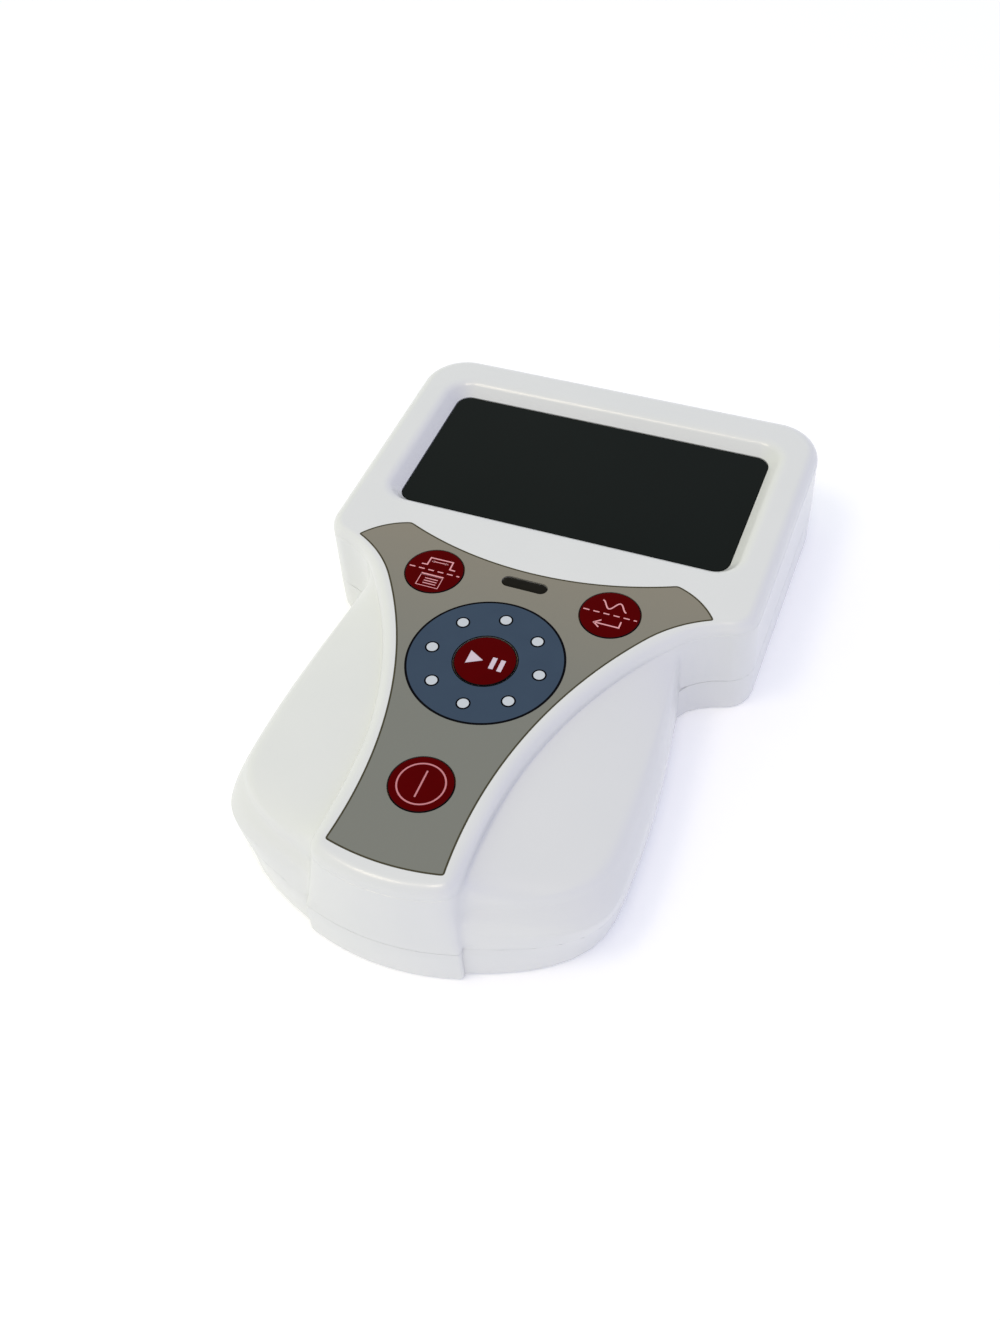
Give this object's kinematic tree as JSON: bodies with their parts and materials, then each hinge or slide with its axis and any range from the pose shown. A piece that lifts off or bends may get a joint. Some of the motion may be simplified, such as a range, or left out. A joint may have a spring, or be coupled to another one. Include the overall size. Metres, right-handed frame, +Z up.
{
  "type": "handheld electrotherapy unit",
  "caption": "Handheld nerve stimulator: sunk display in a wide head, waisted spine with flush keypad between rounded hips, hinged battery door and a lead socket.",
  "frame": {"origin": "on the table, under the middle of the housing's bounding box", "axes": "+X to the user's right, +Y from the tail to the display head, +Z up out of the deck"},
  "size_m": [0.09, 0.137, 0.0242],
  "materials": {
    "shell_white": "satin moulded plastic, very fine texture",
    "window_dark": "polished, near black",
    "overlay_taupe": "printed film, satin",
    "key_red": "printed film, satin",
    "smoked_lens": "polished",
    "foam_black": "matte foam",
    "bright_steel": "bright plated",
    "display_glass": "polished, dark",
    "diffuser_white": "satin",
    "film_clear": "satin film",
    "film_amber": "gloss film",
    "connector_ivory": "matte",
    "board_green": "lacquered",
    "component_black": "matte moulded",
    "ferrite_grey": "matte",
    "copper_winding": "enamelled",
    "capacitor_can": "sleeved",
    "cell_sleeve": "gloss sleeve",
    "lead_red": "soft insulation"
  },
  "bodies": {
    "housing": {"top_shell": "shell_white", "bottom_shell": "shell_white", "display_window": "window_dark", "window_tape": "foam_black", "display_gasket": "foam_black", "lcd_frame": "bright_steel", "lcd_glass": "display_glass", "lcd_backlight": "diffuser_white", "keypad_overlay": "overlay_taupe", "keypad_spacer": "film_clear", "keypad_circuit": "film_amber", "snap_domes": "bright_steel", "status_lens": "smoked_lens", "status_led": "diffuser_white", "keypad_tail": "film_amber", "keypad_connector": "connector_ivory", "main_board": "board_green", "microcontroller": "component_black", "transformer_core": "ferrite_grey", "transformer_winding": "copper_winding", "reservoir_capacitor": "capacitor_can", "boost_inductor": "ferrite_grey", "buzzer": "component_black", "output_socket": "component_black", "battery_cells": "cell_sleeve", "battery_springs": "bright_steel", "battery_plates": "bright_steel", "battery_leads": "lead_red", "case_screws": "bright_steel", "board_screws": "bright_steel"},
    "menu_key_cap": {"menu_key": "key_red"},
    "enter_key_cap": {"enter_key": "key_red"},
    "start_pause_key_cap": {"start_pause_key": "key_red"},
    "power_key_cap": {"power_key": "key_red"},
    "door": {"battery_door": "shell_white"}
  },
  "joints": [
    {"name": "menu_key_press", "type": "slide", "parent": "housing", "child": "menu_key_cap", "axis": [0, 0, -1], "range_m": [0, 0.0003], "stiffness_N_per_m": 1000, "springref_m": -0.0003},
    {"name": "enter_key_press", "type": "slide", "parent": "housing", "child": "enter_key_cap", "axis": [0, 0, -1], "range_m": [0, 0.0003], "stiffness_N_per_m": 1000, "springref_m": -0.0003},
    {"name": "start_pause_key_press", "type": "slide", "parent": "housing", "child": "start_pause_key_cap", "axis": [0, 0, -1], "range_m": [0, 0.0003], "stiffness_N_per_m": 1000, "springref_m": -0.0003},
    {"name": "power_key_press", "type": "slide", "parent": "housing", "child": "power_key_cap", "axis": [0, 0, -1], "range_m": [0, 0.0003], "stiffness_N_per_m": 1000, "springref_m": -0.0003},
    {"name": "battery_door_hinge", "type": "hinge", "parent": "housing", "child": "door", "pos_m": [0, 0.0013, 0.0014], "axis": [1, 0, 0], "range_deg": [0, 80]}
  ]
}
